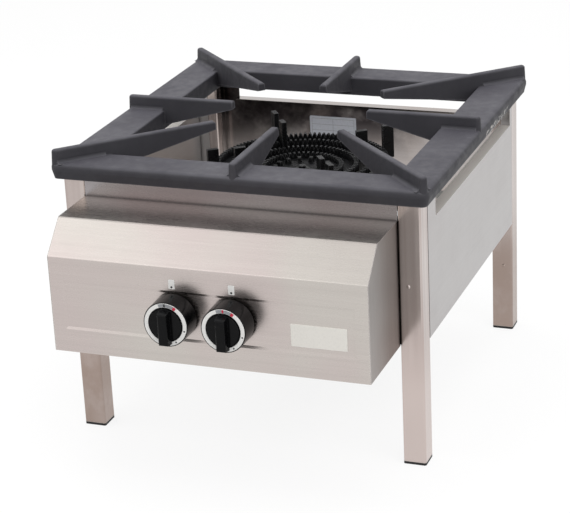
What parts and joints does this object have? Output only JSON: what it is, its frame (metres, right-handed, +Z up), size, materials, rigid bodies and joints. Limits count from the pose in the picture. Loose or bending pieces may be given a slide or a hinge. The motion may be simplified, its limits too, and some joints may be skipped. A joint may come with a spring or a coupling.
{
  "type": "stock pot range",
  "caption": "Free-standing low gas stock pot range: square tube frame, slotted steel panels, cast grate with fingers, ring burner and front control box with knobs.",
  "frame": {"origin": "on the floor, at the middle of the whole footprint (grate, frame, control box and knobs)", "axes": "+Z up, +Y to the back, +X to the right of a cook who faces the knobs"},
  "size_m": [0.5906, 0.7647, 0.458],
  "materials": {
    "panel_steel": "satin brushed stainless sheet",
    "leg_steel": "polished stainless tube",
    "grate_iron": "matt enamelled casting",
    "burner_iron": "black satin casting",
    "foot_plastic": "black moulded",
    "knob_plastic": "black gloss moulding",
    "dial_metal": "printed white ring",
    "brass": "turned",
    "tube_aluminium": "as cast",
    "plated_steel": "zinc plated"
  },
  "bodies": {
    "range_frame": {"burner_bearer_front": "plated_steel", "burner_bearer_rear": "plated_steel", "burner_body": "burner_iron", "control_box_cheek_left": "panel_steel", "control_box_cheek_right": "panel_steel", "control_box_cover": "panel_steel", "control_box_floor": "panel_steel", "feed_pipe_left": "plated_steel", "feed_pipe_right": "plated_steel", "flame_probe": "plated_steel", "foot_cap_front_left": "foot_plastic", "foot_cap_front_right": "foot_plastic", "foot_cap_rear_left": "foot_plastic", "foot_cap_rear_right": "foot_plastic", "front_panel": "panel_steel", "front_rail": "panel_steel", "gas_elbow": "plated_steel", "gas_inlet": "brass", "gas_pipe": "plated_steel", "gas_rail": "plated_steel", "gas_rail_plug": "plated_steel", "jet_left": "brass", "jet_right": "brass", "leg_cap_front_left": "panel_steel", "leg_cap_front_right": "panel_steel", "leg_cap_rear_left": "panel_steel", "leg_cap_rear_right": "panel_steel", "leg_front_left": "leg_steel", "leg_front_right": "leg_steel", "leg_rear_left": "leg_steel", "leg_rear_right": "leg_steel", "mixing_tube_left": "tube_aluminium", "mixing_tube_right": "tube_aluminium", "pilot_bracket": "plated_steel", "pilot_burner": "brass", "rear_panel": "panel_steel", "side_panel_left": "panel_steel", "side_panel_right": "panel_steel", "tap_body_left": "brass", "tap_body_right": "brass", "tap_cover_left": "brass", "tap_cover_right": "brass"},
    "pot_grate": {"pot_grate": "grate_iron"},
    "outer_head": {"burner_outer_head": "burner_iron"},
    "inner_head": {"burner_inner_head": "burner_iron"},
    "tap_plug_left": {"tap_plug_left": "brass"},
    "knob_left": {"tap_stem_left": "plated_steel", "knob_left": "knob_plastic", "dial_ring_left": "dial_metal"},
    "air_shutter_left": {"air_shutter_left": "tube_aluminium"},
    "tap_plug_right": {"tap_plug_right": "brass"},
    "knob_right": {"tap_stem_right": "plated_steel", "knob_right": "knob_plastic", "dial_ring_right": "dial_metal"},
    "air_shutter_right": {"air_shutter_right": "tube_aluminium"}
  },
  "joints": [
    {"name": "grate_lift", "type": "slide", "parent": "range_frame", "child": "pot_grate", "axis": [0, 0, 1], "range_m": [0, 0.15]},
    {"name": "outer_head_lift", "type": "slide", "parent": "range_frame", "child": "outer_head", "axis": [0, 0, 1], "range_m": [0, 0.02]},
    {"name": "inner_head_lift", "type": "slide", "parent": "range_frame", "child": "inner_head", "axis": [0, 0, 1], "range_m": [0, 0.02]},
    {"name": "tap_turn_left", "type": "hinge", "parent": "range_frame", "child": "tap_plug_left", "pos_m": [-0.047, -0.3102, 0.268], "axis": [0, -1, 0], "range_deg": [0, 180]},
    {"name": "knob_push_left", "type": "slide", "parent": "tap_plug_left", "child": "knob_left", "axis": [0, 1, 0], "range_m": [0, 0.003], "stiffness_N_per_m": 300, "springref_m": -0.004},
    {"name": "shutter_turn_left", "type": "hinge", "parent": "range_frame", "child": "air_shutter_left", "pos_m": [-0.047, -0.1328, 0.268], "axis": [0, -1, 0], "range_deg": [0, 45]},
    {"name": "tap_turn_right", "type": "hinge", "parent": "range_frame", "child": "tap_plug_right", "pos_m": [0.041, -0.3102, 0.268], "axis": [0, -1, 0], "range_deg": [0, 180]},
    {"name": "knob_push_right", "type": "slide", "parent": "tap_plug_right", "child": "knob_right", "axis": [0, 1, 0], "range_m": [0, 0.003], "stiffness_N_per_m": 300, "springref_m": -0.004},
    {"name": "shutter_turn_right", "type": "hinge", "parent": "range_frame", "child": "air_shutter_right", "pos_m": [0.041, -0.1328, 0.268], "axis": [0, -1, 0], "range_deg": [0, 45]}
  ]
}
